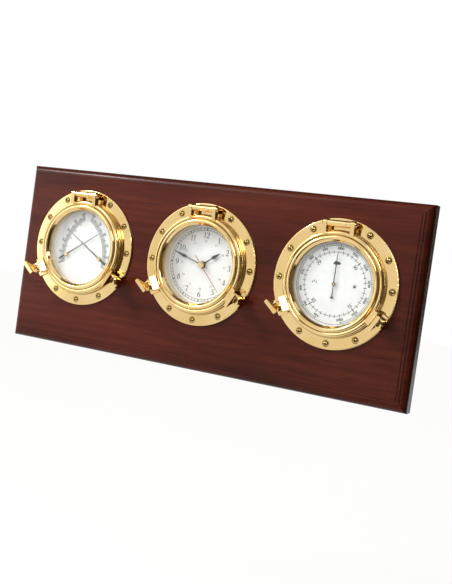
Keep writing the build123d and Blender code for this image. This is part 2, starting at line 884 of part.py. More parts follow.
with BuildPart() as motor:
    coil_middle = movement_front - movement_wall - motor_cheek_half
    coil_start = Plane(
        origin=clock_face.from_local_coords(
            (motor_inset - movement_width / 2, motor_rise - motor_coil_length / 2, coil_middle)
        ),
        x_dir=clock_face.x_dir,
        z_dir=clock_face.y_dir,
    )
    with BuildSketch(coil_start):
        Circle(motor_coil_radius)
    extrude(amount=motor_coil_length)
    for end in (-motor_cheek_thickness, motor_coil_length):
        with BuildSketch(coil_start.offset(end)):
            Rectangle(2 * motor_cheek_half, 2 * motor_cheek_half)
        extrude(amount=motor_cheek_thickness)
    with BuildSketch(coil_start.offset((motor_coil_length - motor_core_length) / 2)):
        Rectangle(motor_core_width, motor_core_width)
    extrude(amount=motor_core_length)
keep(motor, "clock_motor")

with BuildPart() as dial_nut:
    with BuildSketch(clock_face.offset(clock_dial_level)):
        Circle(nut_radius)
        Circle(bush_radius + running_fit, mode=Mode.SUBTRACT)
    extrude(amount=nut_thickness)
keep(dial_nut, "clock_dial_nut")


def hand_outline(length, root, swell, start=0):
    """Half of a hand's outline, from its root to its tip, with a lozenge swelling near the end."""
    neck = length * swell_neck_share
    middle = length * swell_share
    return [(start, root), (neck, root / 2), (middle, swell), (length, hand_tip)]


def hand_sketch(points):
    """Add a hand, mirrored about its own line, to the sketch that is open."""
    Polygon(*points, *[(x, -y) for x, y in reversed(points)], align=None)


def make_tube_hand(name, angle, height, outline, hub, tube):
    """A hand with a hub, hung on a tube through the dial."""
    level = clock_dial_level + height
    plane = turned(clock_face, 90 - angle)
    with BuildPart() as hand:
        with BuildSketch(plane.offset(level)):
            hand_sketch(outline)
            Circle(hub)
            Circle(tube, mode=Mode.SUBTRACT)
        extrude(amount=hand_thickness)
    keep(hand, name)


hour_outline = hand_outline(hour_hand_length, hour_hand_root, hour_hand_swell)
minute_outline = hand_outline(minute_hand_length, minute_hand_root, minute_hand_swell)
make_tube_hand(
    "clock_hour_hand", hour_hand_angle, hour_hand_height, hour_outline, hour_hub_radius, hour_tube_radius
)
make_tube_hand(
    "clock_minute_hand", minute_hand_angle, minute_hand_height, minute_outline, minute_hub_radius,
    minute_tube_radius,
)

with BuildPart() as second_hand:
    second_plane = turned(clock_face, 90 - second_hand_angle)
    with BuildSketch(second_plane.offset(clock_dial_level + second_hand_height)):
        Polygon(
            (-second_hand_tail, -second_hand_root),
            (second_hand_length, -hand_tip),
            (second_hand_length, hand_tip),
            (-second_hand_tail, second_hand_root),
            align=None,
        )
        Circle(second_hub_radius)
        Circle(second_arbor_radius, mode=Mode.SUBTRACT)
    extrude(amount=hand_thickness)
keep(second_hand, "clock_second_hand")


def make_toothed_tube(name, teeth, start, gear_top, tube, bore, tube_end):
    """A wheel at the end of a tube that runs out through the dial to its hand."""
    with BuildPart() as wheel:
        with BuildSketch(clock_face.offset(gear_top)):
            gear_sketch(teeth, gear_module, start)
        extrude(amount=-gear_thickness)
        with BuildSketch(clock_face.offset(gear_top - gear_thickness)):
            Circle(tube)
        extrude(amount=tube_end - gear_top + gear_thickness)
        with BuildSketch(clock_face.offset(gear_top - gear_thickness)):
            Circle(bore)
        extrude(amount=tube_end - gear_top + gear_thickness, mode=Mode.SUBTRACT)
    keep(wheel, name)


half_tooth = 180 / hour_wheel_teeth
make_toothed_tube(
    "clock_hour_wheel", hour_wheel_teeth, half_tooth, hour_wheel_top, hour_tube_radius,
    minute_tube_radius + tube_fit, clock_dial_level + hour_hand_height + hand_thickness,
)
make_toothed_tube(
    "clock_minute_pinion", minute_pinion_teeth, 90, minute_pinion_top, minute_tube_radius,
    second_arbor_radius + tube_fit, clock_dial_level + minute_hand_height + hand_thickness,
)

with BuildPart() as second_arbor:
    arbor_top = clock_dial_level + second_hand_height + hand_thickness
    with BuildSketch(clock_face.offset(lid_inside + seat_gap)):
        Circle(second_arbor_radius)
    extrude(amount=arbor_top - lid_inside - seat_gap)
    with BuildSketch(clock_face.offset(second_wheel_top)):
        Circle(second_wheel_radius)
    extrude(amount=-gear_thickness)
    with BuildSketch(clock_face.offset(arbor_top)):
        Circle(cap_radius)
    extrude(amount=cap_height, taper=cap_taper_angle)
keep(second_arbor, "clock_second_arbor")

with BuildPart() as setting_wheel:
    with BuildSketch(setting_plane.offset(minute_pinion_top)):
        gear_sketch(setting_wheel_teeth, gear_module, 0)
    extrude(amount=-gear_thickness)
    with BuildSketch(setting_plane.offset(hour_wheel_top)):
        gear_sketch(setting_pinion_teeth, gear_module, 0)
    extrude(amount=-gear_thickness)
    shaft_top = movement_front - movement_wall + movement_wall / 2 - seat_gap
    knob_top = movement_back - seat_gap
    with BuildSketch(setting_plane.offset(knob_top)):
        Circle(setting_shaft_radius)
    extrude(amount=shaft_top - knob_top)
    with BuildSketch(setting_plane.offset(knob_top)):
        Circle(setting_knob_radius)
    extrude(amount=-setting_knob_thickness)
keep(setting_wheel, "clock_setting_wheel")


# The comfort meter: two needles, their arbors, coils and brackets

comfort_face = faces_by_name["comfort"]
comfort_back = comfort_dial_level - dial_thickness
bracket_level = comfort_back - bracket_drop


def make_comfort_needle(sense, angle, length, height):
    """A straight needle with a thick tail, pressed on its arbor."""
    level = comfort_dial_level + height
    plane = turned(comfort_face, angle, *comfort_pivots[sense])
    with BuildPart() as needle:
        with BuildSketch(plane.offset(level)):
            Polygon(
                (-needle_tail, -needle_tail_half),
                (0, -needle_root_half),
                (length, -hand_tip),
                (length, hand_tip),
                (0, needle_root_half),
                (-needle_tail, needle_tail_half),
                align=None,
            )
            Circle(needle_hub_radius)
            Circle(arbor_radius, mode=Mode.SUBTRACT)
        extrude(amount=hand_thickness)
    keep(needle, f"comfort_{sense}_needle")
    with BuildPart() as arbor:
        with BuildSketch(plane.offset(bracket_level - bracket_thickness)):
            Circle(arbor_radius)
        extrude(amount=level + hand_thickness - bracket_level + bracket_thickness)
        with BuildSketch(plane.offset(level + hand_thickness)):
            Circle(arbor_cap_radius)
        extrude(amount=arbor_cap_height, taper=arbor_cap_taper_angle)
    keep(arbor, f"comfort_{sense}_arbor")


def make_coil(sense):
    """A flat spiral of strip round the arbor, in half turns that grow by half a pitch."""
    plane = turned(comfort_face, 0, *comfort_pivots[sense])
    with BuildPart() as coil:
        with BuildSketch(plane.offset(comfort_back - coil_drop)):
            with BuildLine():
                start = coil_inner_radius
                for half in range(2 * coil_turn_count):
                    side = 1 if half % 2 == 0 else -1
                    end = start + coil_pitch / 2
                    RadiusArc((side * start, 0), (-side * end, 0), -(start + end) / 2)
                    start = end
            trace(line_width=coil_strip)
        extrude(amount=-coil_height)
    keep(coil, f"comfort_{sense}_coil")


make_comfort_needle(
    "temperature", temperature_needle_angle, temperature_needle_length, temperature_needle_height
)
make_comfort_needle("humidity", humidity_needle_angle, humidity_needle_length, humidity_needle_height)
for sense in comfort_pivots:
    make_coil(sense)

with BuildPart() as coil_brackets:
    pivots = list(comfort_pivots.values())
    posts = [(x, y + side * bracket_post_spread) for x, y in pivots for side in (-1, 1)]
    with BuildSketch(comfort_face.offset(bracket_level)):
        with Locations(*pivots):
            Rectangle(bracket_width, bracket_length)
            Circle(arbor_radius + running_fit, mode=Mode.SUBTRACT)
    extrude(amount=-bracket_thickness)
    with BuildSketch(comfort_face.offset(bracket_level)):
        with Locations(*posts):
            Circle(bracket_post_radius)
    extrude(amount=bracket_drop)
keep(coil_brackets, "comfort_coil_brackets")


# The barometer: pointer, arbor and pinion, toothed sector, bridge and aneroid capsule

barometer_face = faces_by_name["barometer"]
barometer_back = barometer_dial_level - dial_thickness
sector_level = barometer_back - sector_drop
bridge_level = barometer_back - bridge_drop
pointer_level = barometer_dial_level + pointer_height
sector_place = (0, -sector_distance)
case_floor = case_back + case_wall

with BuildPart() as pointer:
    pointer_plane = turned(barometer_face, pointer_angle)
    lozenge = pointer_length * pointer_lozenge_share
    lozenge_half_length = pointer_lozenge_half + pointer_root_half
    with BuildSketch(pointer_plane.offset(pointer_level)):
        hand_sketch(
            [
                (-pointer_tail, pointer_root_half),
                (lozenge - lozenge_half_length, pointer_root_half),
                (lozenge, pointer_lozenge_half),
                (lozenge + lozenge_half_length, pointer_root_half),
                (pointer_length, hand_tip),
            ]
        )
        Polygon(
            (-pointer_tail + fletch_length, 0),
            (-pointer_tail, fletch_half_width),
            (-pointer_tail + fletch_notch, 0),
            (-pointer_tail, -fletch_half_width),
            align=None,
        )
        Circle(pointer_hub_radius)
        Circle(arbor_radius, mode=Mode.SUBTRACT)
    extrude(amount=hand_thickness)
keep(pointer, "barometer_pointer")

with BuildPart() as barometer_arbor:
    pinion_start = 180 / barometer_pinion_teeth
    with BuildSketch(barometer_face.offset(bridge_level - bridge_thickness)):
        Circle(arbor_radius)
    extrude(amount=pointer_level + hand_thickness - bridge_level + bridge_thickness)
    with BuildSketch(barometer_face.offset(sector_level)):
        gear_sketch(barometer_pinion_teeth, barometer_module, pinion_start)
    extrude(amount=-sector_thickness)
keep(barometer_arbor, "barometer_arbor")

with BuildPart() as sector:
    tooth_angle = 360 / sector_wheel_teeth
    reach_angle = tooth_angle * sector_cut_teeth / 2
    root = barometer_module * (sector_wheel_teeth / 2 - tooth_dedendum_share)
    tip = barometer_module * (sector_wheel_teeth / 2 + tooth_addendum_share)
    wide = pi * barometer_module * tooth_root_share
    narrow = pi * barometer_module * tooth_tip_share
    foot = root - barometer_module
    sector_plane = turned(barometer_face, 90, *sector_place)
    with BuildSketch(sector_plane.offset(sector_level)):
        Circle(root)
        Polygon(
            (0, 0),
            (2 * root * cos(radians(reach_angle)), 2 * root * sin(radians(reach_angle))),
            (2 * root * cos(radians(reach_angle)), -2 * root * sin(radians(reach_angle))),
            align=None,
            mode=Mode.INTERSECT,
        )
        Circle(sector_hub_radius)
        with PolarLocations(
            0,
            sector_cut_teeth,
            start_angle=tooth_angle / 2 - reach_angle,
            angular_range=2 * reach_angle,
        ):
            Polygon((foot, -wide), (tip, -narrow), (tip, narrow), (foot, wide), align=None)
    extrude(amount=-sector_thickness)
    with BuildSketch(sector_plane.offset(bridge_level - bridge_thickness)):
        Circle(sector_pivot_radius)
    extrude(amount=sector_level - bridge_level + bridge_thickness)
keep(sector, "barometer_sector")

with BuildPart() as bridge:
    bridge_posts = [(0, bridge_top), (0, -bridge_bottom)]
    with BuildSketch(barometer_face.offset(bridge_level)):
        with Locations((0, (bridge_top - bridge_bottom) / 2)):
            SlotCenterToCenter(bridge_top + bridge_bottom, bridge_width, rotation=90)
        Circle(arbor_radius + running_fit, mode=Mode.SUBTRACT)
        with Locations(sector_place):
            Circle(sector_pivot_radius + running_fit, mode=Mode.SUBTRACT)
    extrude(amount=-bridge_thickness)
    with BuildSketch(barometer_face.offset(bridge_level - bridge_thickness)):
        with Locations(*bridge_posts):
            Circle(bridge_post_radius)
    extrude(amount=case_floor - bridge_level + bridge_thickness)
keep(bridge, "barometer_bridge")

with BuildPart() as capsule:
    capsule_middle = case_floor + capsule_thickness / 2 + capsule_rib
    rib_step = capsule_radius / (2 * capsule_rib_count)
    half = capsule_thickness / 2
    ripple = [
        (capsule_radius - step * rib_step, half - (step % 2) * capsule_rib)
        for step in range(2 * capsule_rib_count)
    ]
    with BuildSketch(upright(turned(barometer_face, 0, 0, 0, capsule_middle))):
        with BuildLine():
            Polyline(
                (0, half),
                (0, -half),
                *[(radius, -height) for radius, height in reversed(ripple)],
                *ripple,
                close=True,
            )
        make_face()
    revolve(axis=spindle(barometer_face))
    with BuildSketch(barometer_face.offset(case_floor)):
        Circle(capsule_stem_radius)
    extrude(amount=capsule_rib + half)
keep(capsule, "barometer_capsule")
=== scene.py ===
# %% [markdown]
# # A wall plaque with three porthole instruments
# A moulded mahogany board carries a comfort meter, a quartz clock and a barometer, each in a polished
# brass porthole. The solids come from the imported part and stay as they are. This lesson gives them
# their finishes, prints their dials and sets up the studio.

# %% Load the solids
import json
from math import cos, pi, radians, sin

import bmesh
import bpy
import numpy as np
from mathutils import Matrix, Vector


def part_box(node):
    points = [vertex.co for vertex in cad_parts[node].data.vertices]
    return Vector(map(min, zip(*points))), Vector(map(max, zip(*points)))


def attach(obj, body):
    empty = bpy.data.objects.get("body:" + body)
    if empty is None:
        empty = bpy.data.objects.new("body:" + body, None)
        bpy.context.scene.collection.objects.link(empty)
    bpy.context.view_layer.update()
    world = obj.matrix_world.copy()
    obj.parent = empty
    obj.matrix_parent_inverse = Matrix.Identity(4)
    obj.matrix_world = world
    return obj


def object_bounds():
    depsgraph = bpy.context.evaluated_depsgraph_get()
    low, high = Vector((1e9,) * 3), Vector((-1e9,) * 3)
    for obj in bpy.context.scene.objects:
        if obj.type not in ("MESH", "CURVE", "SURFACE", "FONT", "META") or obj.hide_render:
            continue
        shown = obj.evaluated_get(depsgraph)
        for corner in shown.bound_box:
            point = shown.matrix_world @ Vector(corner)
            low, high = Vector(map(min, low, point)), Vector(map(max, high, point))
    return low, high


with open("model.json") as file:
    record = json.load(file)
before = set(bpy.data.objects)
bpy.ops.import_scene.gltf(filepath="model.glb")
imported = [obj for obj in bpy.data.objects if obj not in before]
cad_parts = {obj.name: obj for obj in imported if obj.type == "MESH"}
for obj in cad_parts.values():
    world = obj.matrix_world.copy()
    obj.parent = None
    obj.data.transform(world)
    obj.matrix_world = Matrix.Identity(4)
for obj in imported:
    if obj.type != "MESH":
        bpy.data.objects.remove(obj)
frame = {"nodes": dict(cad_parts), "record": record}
cad_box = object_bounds()
mm = 0.001

# %% [markdown]
# ## Sums on sockets
# Finishes and grown shapes are both node trees. They could be wired by hand, one link at a time, but then
# the maths gets lost among the links. Here one small class holds an output socket and takes part in Python
# sums, so a formula in the script reads as the formula it is.

# %% A socket that can be added and multiplied
class Wire:
    """An output socket of a node tree that takes part in Python sums."""

    def __init__(self, tree, socket=None):
        self.tree, self.socket = tree, socket

    def node(self, kind, settings=None, sockets=None, out=0):
        """Adds any other node: its settings first, then the values or links of its sockets."""
        made = self.tree.nodes.new(kind)
        for name, value in (settings or {}).items():
            if name == "stops":
                ramp = made.color_ramp
                while len(ramp.elements) < len(value):
                    ramp.elements.new(1.0)
                for element, (place, colour) in zip(ramp.elements, value):
                    element.position, element.color = place, (*colour, 1.0)
            else:
                setattr(made, name, value)
        for name, value in (sockets or {}).items():
            self.plug(made.inputs[name], value)
        return Wire(self.tree, made.outputs[out])

    def plug(self, socket, value):
        """Links a wire to a socket, or sets the socket's own value."""
        if isinstance(value, Wire):
            self.tree.links.new(value.socket, socket)
        else:
            socket.default_value = value

    def maths(self, operation, left, right=0.0):
        """A Math node on two values, or on the first where the operation takes one."""
        return self.node("ShaderNodeMath", {"operation": operation}, {0: left, 1: right})

    def __add__(self, other):
        return self.maths("ADD", self, other)

    def __radd__(self, other):
        return self.maths("ADD", other, self)

    def __sub__(self, other):
        return self.maths("SUBTRACT", self, other)

    def __rsub__(self, other):
        return self.maths("SUBTRACT", other, self)

    def __mul__(self, other):
        return self.maths("MULTIPLY", self, other)

    def __rmul__(self, other):
        return self.maths("MULTIPLY", other, self)

    def __gt__(self, other):
        return self.maths("GREATER_THAN", self, other)

    def __lt__(self, other):
        return self.maths("LESS_THAN", self, other)


# %% Helpers that every finish uses
def new_finish(name, **steady):
    """A material, a wire on its object coordinates, and a call that plugs its shader's sockets."""
    material = bpy.data.materials.new(name)
    material.use_nodes = True
    tree = material.node_tree
    shader = tree.nodes["Principled BSDF"]
    for socket, value in steady.items():
        shader.inputs[socket.replace("_", " ")].default_value = value
    place = Wire(tree).node("ShaderNodeTexCoord", out="Object")

    def plug(socket, value):
        place.plug(shader.inputs[socket], value)

    return material, place, plug


def noise(place, scale, detail=3.0, stretch=(1.0, 1.0, 1.0)):
    """Smooth noise with so many features to the metre, longer along an axis with a small stretch."""
    mapped = place.node("ShaderNodeMapping", {}, {"Vector": place, "Scale": [scale * s for s in stretch]})
    return mapped.node("ShaderNodeTexNoise", {}, {"Vector": mapped, "Scale": 1.0, "Detail": detail})


def ramp(value, *stops):
    """A colour that follows a value through stops of (value, colour)."""
    return value.node("ShaderNodeValToRGB", {"stops": stops}, {"Fac": value})


def tint(mask, below, above):
    """One colour where the mask is 0, another where it is 1."""
    return mask.node("ShaderNodeMix", {"data_type": "RGBA"}, {0: mask, 6: below, 7: above}, out=2)


def between(value, low, high):
    """0 below low, 1 above high, and a straight run between them."""
    return value.node("ShaderNodeMapRange", {}, {"Value": value, "From Min": low, "From Max": high})


def near(value, centre, half):
    """1 at a centre, falling to 0 at so much to either side of it."""
    return between(value.maths("ABSOLUTE", value - centre), half, 0.0)


def axes(place):
    """Wires on the three parts of a place."""
    parts = place.node("ShaderNodeSeparateXYZ", {}, {0: place}).socket.node
    return [Wire(place.tree, parts.outputs[axis]) for axis in "XYZ"]


def bump(height, strength, distance):
    """A normal that follows a height, with the depth of the relief in metres."""
    return height.node("ShaderNodeBump", {}, {"Strength": strength, "Distance": distance, "Height": height})


finishes = {}
print("helpers ready")

# %% [markdown]
# ## Mahogany
# The board is red-brown hardwood, stained dark and rubbed to a satin lacquer. Its grain runs along the
# board: broad soft bands, a finer figure, and short dark pores on top. A wave texture would repeat too
# neatly, so three stretched noises make them. The moulded edges are darkened nearly to black, a painted dark
# reflection, and the back has stain but no lacquer, so it is duller.

# %% Stained and lacquered mahogany
board_low, board_high = (Vector(corner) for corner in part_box("plaque_board"))
board_half, board_middle = (board_high - board_low) / 2, (board_high + board_low) / 2
finishes["mahogany"], place, plug = new_finish("mahogany", Specular_IOR_Level=0.17)
bands = noise(place, 9.0, 5.0, (0.35, 2.2, 2.2))
figure = noise(place, 55.0, 5.0, (0.14, 2.4, 2.4))
pores = between(noise(place, 420.0, 2.0, (0.08, 1.6, 1.6)), 0.54, 0.70)
colour = ramp(0.6 * bands + 0.4 * figure, (0.34, (0.086, 0.0134, 0.0066)), (0.5, (0.150, 0.0246, 0.0116)),
              (0.66, (0.218, 0.0430, 0.0212)))
colour = tint(0.45 * pores, colour, (0.024, 0.005, 0.003, 1.0))
across, depth, up = axes(place)
back = depth > -0.3 * mm
past_side = across.maths("ABSOLUTE", across) - board_half.x
past_top = across.maths("ABSOLUTE", up - board_middle.z) - board_half.z
# Painted dark reflection: the outer few millimetres of the moulded edges are darkened nearly to black.
painted_dark_edge = between(across.maths("MAXIMUM", past_side, past_top), -2.6 * mm, -0.8 * mm)
colour = tint(0.8 * painted_dark_edge, colour, (0.018, 0.003, 0.003, 1.0))
plug("Base Color", tint(0.6 * back, colour, (0.085, 0.036, 0.026, 1.0)))
plug("Roughness", 0.20 + 0.12 * pores + 0.45 * back)
plug("Normal", bump(1 - pores, 0.25, 0.12 * mm))
print("mahogany: bands, figure, pores and painted dark edges")

# %% [markdown]
# ## Polished brass
# The portholes are cast, turned and polished, then lacquered. A mirror of one even colour looks like gold
# foil, so the tone drifts a little over each casting, and faint rubbing marks change the roughness. The groove
# of a bezel, the foot of a collar and the seats of the screws are darkened with painted shade and some polish
# residue. Those corners are round, so the finish works out how far a point is from the axis of the nearest
# porthole.

# %% How far from the axis of a porthole, and from its nearest screw
dial_low, dial_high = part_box("barometer_dial")
porthole_spacing, porthole_level = (dial_low[0] + dial_high[0]) / 2, (dial_low[2] + dial_high[2]) / 2
screw_circle, screw_angle, screw_head = 63.5 * mm, pi / 6, 3.5 * mm
groove_radius, collar_radius, flange_top, collar_top = 51.75 * mm, 56.9 * mm, 2.5 * mm, 7.05 * mm


def porthole_place(place):
    """Distance from the axis of the nearest porthole, rise above the board, and distance from a screw."""
    x, y, z = axes(place)
    x = x - porthole_spacing * x.maths("ROUND", x * (1 / porthole_spacing))
    z = z - porthole_level
    reach = x.maths("SQRT", x * x + z * z)
    angle = x.maths("ARCTAN2", z, x)
    angle = angle - screw_angle * x.maths("ROUND", angle * (1 / screw_angle))
    along = reach * x.maths("COSINE", angle) - screw_circle
    across = reach * x.maths("SINE", angle)
    return reach, board_low.y - y, x.maths("SQRT", along * along + across * across)


print("portholes every", round(porthole_spacing / mm, 1), "mm")


# %% Polished brass
finishes["polished_brass"], place, plug = new_finish("polished_brass", Metallic=1.0)
tone = noise(place, 26.0, 3.0)
rubbing = noise(place, 240.0, 4.0, (1.0, 1.0, 0.35))
reach, rise, screw = porthole_place(place)
groove = near(reach, groove_radius, 0.7 * mm)
corner = near(reach, collar_radius, 1.3 * mm)
foot_and_gap = near(rise, flange_top, 0.9 * mm) + near(rise, collar_top, 0.6 * mm)
seat = near(screw, screw_head, 0.8 * mm) * near(rise, flange_top, 0.6 * mm)
# Painted shade, with some polish residue: the groove of a bezel, the foot of a collar and the screw seats are
# darkened.
residue_and_painted_shade = tone.maths("MINIMUM", groove + corner * foot_and_gap + seat, 1.0)
colour = ramp(tone, (0.32, (0.78, 0.54, 0.22)), (0.68, (0.85, 0.63, 0.30)))
plug("Base Color", tint(0.75 * residue_and_painted_shade, colour, (0.20, 0.125, 0.04, 1.0)))
plug("Roughness", 0.05 + 0.08 * rubbing + 0.25 * residue_and_painted_shade)
plug("Normal", bump(noise(place, 90.0, 1.0), 0.01, 0.2 * mm))
print("polished brass: tarnish in grooves, corners and screw seats")

# %% Brass of the screws, darker, with painted shade in their cross recesses
screw_brass, place, plug = new_finish("screw_brass", Metallic=1.0)
tone = noise(place, 400.0, 3.0)
reach, rise, screw = porthole_place(place)
dome_radius, dome_centre = 3.66 * mm, 1.14 * mm
sphere = tone.maths("MAXIMUM", dome_radius**2 - screw * screw, 0.0)
below = dome_centre + tone.maths("SQRT", sphere) - rise
# Painted shade: the cross recess of each screw is darkened nearly to black.
painted_recess_shade = between(below, 0.10 * mm, 0.35 * mm)
colour = ramp(tone, (0.3, (0.42, 0.30, 0.10)), (0.7, (0.58, 0.43, 0.17)))
plug("Base Color", tint(0.9 * painted_recess_shade, colour, (0.03, 0.02, 0.01, 1.0)))
plug("Roughness", 0.14 + 0.12 * tone + 0.3 * painted_recess_shade)
print("screw brass: dark cross recesses")

# %% Drawn brass of the cans, and of the small works
finishes["case_brass"], place, plug = new_finish("case_brass", Metallic=1.0)
cloud = noise(place, 60.0, 4.0)
drawn = noise(place, 500.0, 3.0, (1.0, 0.05, 1.0))
plug("Base Color", ramp(cloud, (0.3, (0.62, 0.46, 0.22)), (0.7, (0.74, 0.58, 0.31))))
plug("Roughness", 0.24 + 0.16 * drawn + 0.10 * cloud)
plug("Normal", bump(drawn, 0.12, 0.05 * mm))
print("drawn brass: clouds and drawing marks")

# %% The cans: drawn brass, cream where they show in front of a dial
cream_front_can, place, plug = new_finish("cream_front_can")
cloud = noise(place, 60.0, 4.0)
# Cream and dull in front of this depth, bare brass behind it.
cream_ends = -12.0 * mm
bare = axes(place)[1] > cream_ends
cream = ramp(cloud, (0.3, (0.70, 0.57, 0.40)), (0.7, (0.78, 0.66, 0.49)))
plug("Base Color", tint(bare, cream, (0.66, 0.50, 0.25, 1.0)))
plug("Metallic", bare)
plug("Roughness", 0.42 + 0.12 * cloud - 0.14 * bare)
print("cans: cream in front, bare brass behind")

# %% [markdown]
# ## Dial enamel, glass and lacquered hands
# The dials are sheet metal under white enamel, a little warm and never quite even. The panes are plain
# glass: they let the lamps through by a light path switch, because a solid refracting pane would leave the
# dial in its own shadow. Smears on the glass only change its roughness.

# %% White enamel
finishes["dial_white"], place, plug = new_finish("dial_white", Specular_IOR_Level=0.25)
mottle = noise(place, 90.0, 4.0)
plug("Base Color", ramp(mottle, (0.3, (0.84, 0.81, 0.78)), (0.7, (0.90, 0.88, 0.86))))
plug("Roughness", 0.38 + 0.12 * mottle)
plug("Normal", bump(noise(place, 900.0, 2.0), 0.03, 0.05 * mm))
print("white enamel: mottled")

# %% Clear glass
finishes["clear_glass"], place, plug = new_finish(
    "clear_glass", Base_Color=(0.97, 0.985, 0.98, 1.0), Transmission_Weight=1.0, IOR=1.47
)
smears = between(noise(place, 35.0, 5.0, (1.0, 1.0, 2.2)), 0.52, 0.78)
plug("Roughness", 0.05 * smears)
tree = finishes["clear_glass"].node_tree
pane = Wire(tree, tree.nodes["Principled BSDF"].outputs[0])
shadow = pane.node("ShaderNodeLightPath", out="Is Shadow Ray")
clear = pane.node("ShaderNodeBsdfTransparent")
mixed = pane.node("ShaderNodeMixShader", {}, {0: shadow, 1: pane, 2: clear})
pane.plug(tree.nodes["Material Output"].inputs["Surface"], mixed)
print("clear glass: smears, open to the lamps")


# %% Black and red lacquer of the hands
def hand_lacquer(name, dark, light):
    """A lacquer between two tones, with a little orange peel."""
    finishes[name], place, plug = new_finish(name, Specular_IOR_Level=0.4)
    orange_peel = noise(place, 700.0, 3.0)
    plug("Base Color", ramp(noise(place, 120.0), (0.3, dark), (0.7, light)))
    plug("Roughness", 0.26 + 0.18 * orange_peel)
    plug("Normal", bump(orange_peel, 0.08, 0.03 * mm))


hand_lacquer("black_hands", (0.010, 0.010, 0.011), (0.022, 0.021, 0.021))
hand_lacquer("red_hand", (0.30, 0.010, 0.012), (0.38, 0.018, 0.018))
print("lacquers: black_hands, red_hand")

# %% [markdown]
# ## The works behind the dials
# Behind the dials are moulded plastic, acetal wheels, plated steel, bimetal and copper, and one small cell.
# They show only when a can is looked into, so each needs its own grain but no more than that.

# %% Moulded plastics
finishes["movement_plastic"], place, plug = new_finish("movement_plastic")
spark = noise(place, 1900.0, 3.0)
plug("Base Color", ramp(noise(place, 80.0), (0.3, (0.016, 0.016, 0.018)), (0.7, (0.028, 0.028, 0.030))))
plug("Roughness", 0.42 + 0.22 * spark)
plug("Normal", bump(spark, 0.35, 0.04 * mm))

finishes["gear_plastic"], place, plug = new_finish("gear_plastic")
flow = noise(place, 260.0, 3.0)
plug("Base Color", ramp(flow, (0.3, (0.66, 0.64, 0.57)), (0.7, (0.76, 0.74, 0.68))))
plug("Roughness", 0.34 + 0.14 * flow)
print("plastics: movement_plastic, gear_plastic")

# %% Plated steel, copper and the cell's jacket
finishes["steel"], place, plug = new_finish("steel", Metallic=1.0)
spangle = noise(place, 150.0, 4.0)
rolled = noise(place, 900.0, 3.0, (0.05, 1.0, 1.0))
plug("Base Color", ramp(spangle, (0.3, (0.50, 0.50, 0.51)), (0.7, (0.64, 0.64, 0.63))))
plug("Roughness", 0.24 + 0.22 * rolled)
plug("Normal", bump(rolled, 0.10, 0.04 * mm))

finishes["copper_coil"], place, plug = new_finish("copper_coil", Metallic=1.0)
wire_pitch = 0.45 * mm
height = axes(place)[2]
turns = height.maths("SINE", height * (2 * pi / wire_pitch))
plug("Base Color", ramp(noise(place, 200.0), (0.3, (0.50, 0.19, 0.08)), (0.7, (0.64, 0.28, 0.13))))
plug("Roughness", 0.26 + 0.06 * turns)
plug("Normal", bump(turns, 0.30, 0.06 * mm))

finishes["cell_jacket"], place, plug = new_finish("cell_jacket")
cell_low, cell_high = (Vector(corner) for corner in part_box("clock_battery"))
flat_end, button_end, band_start, band_end = 1.2 * mm, 2.6 * mm, 6.0 * mm, 15.0 * mm
along = axes(place)[0]
jacket = (along > cell_low.x + flat_end) * (1 - (along > cell_high.x - button_end))
band = (along > cell_low.x + band_start) * (1 - (along > cell_low.x + band_end))
printed = tint(band, (0.030, 0.075, 0.070, 1.0), (0.50, 0.40, 0.20, 1.0))
plug("Base Color", tint(jacket, (0.60, 0.60, 0.60, 1.0), printed))
plug("Metallic", 1 - jacket)
plug("Roughness", 0.24 + 0.12 * noise(place, 300.0))
print("finishes:", len(finishes))

# %% [markdown]
# ## Giving each solid its finish
# The record names a material slot for every solid, so the finishes could be handed out from a second list
# kept here. Reading the record instead keeps one list, and a solid that gets no finish stops the script.

# %% Hand out the finishes
for part in frame["record"]["subparts"]:
    solid = frame["nodes"][part["node"]]
    if not solid.material_slots:
        solid.data.materials.append(None)
    finish = finishes[part["material_slot"]]
    if part["node"].endswith("_flange_screws"):
        finish = screw_brass
    elif part["node"] in ("comfort_case", "clock_case", "barometer_case"):
        finish = cream_front_can
    for slot in solid.material_slots:
        slot.material = finish

# %% [markdown]
# ## Scales grown by nodes
# A printed scale repeats one tick along an arc, between rings. Both follow a rule, so Geometry Nodes grow
# them: a row of ticks is one small sheet set out by its index, and a ring is a flat grid bent round a
# centre. Angles go clockwise from twelve, as on a clock.

# %% Ink, and the start and end of a tree
def new_ink(name, dark, light):
    """A printing ink between two tones."""
    ink, place, plug = new_finish(name, Specular_IOR_Level=0.2)
    plug("Base Color", ramp(noise(place, 600.0), (0.3, dark), (0.7, light)))
    plug("Roughness", 0.5 + 0.2 * noise(place, 1500.0))
    return ink


inks = {
    "black": new_ink("black_ink", (0.012, 0.012, 0.013), (0.030, 0.029, 0.029)),
    "grey": new_ink("blue_grey_ink", (0.13, 0.15, 0.20), (0.20, 0.22, 0.27)),
}


def new_tree(name, *sizes):
    """A tree with a number input for each size and one for its ink, and wires on all of them."""
    tree = bpy.data.node_groups.new(name, "GeometryNodeTree")
    tree.interface.new_socket("Sheet", in_out="OUTPUT", socket_type="NodeSocketGeometry")
    for size in sizes:
        kind = "NodeSocketInt" if size == "Count" else "NodeSocketFloat"
        tree.interface.new_socket(size, in_out="INPUT", socket_type=kind)
    tree.interface.new_socket("Ink", in_out="INPUT", socket_type="NodeSocketMaterial")
    inputs = tree.nodes.new("NodeGroupInput")
    return tree, [Wire(tree, inputs.outputs[name]) for name in (*sizes, "Ink")]


def end_tree(sheet, ink):
    """Makes instances real, inks the sheet and hands it out."""
    real = sheet.node("GeometryNodeRealizeInstances", {}, {"Geometry": sheet})
    inked = sheet.node("GeometryNodeSetMaterial", {}, {"Geometry": real, "Material": ink})
    sheet.tree.links.new(inked.socket, sheet.tree.nodes.new("NodeGroupOutput").inputs[0])


print("inks:", *inks)

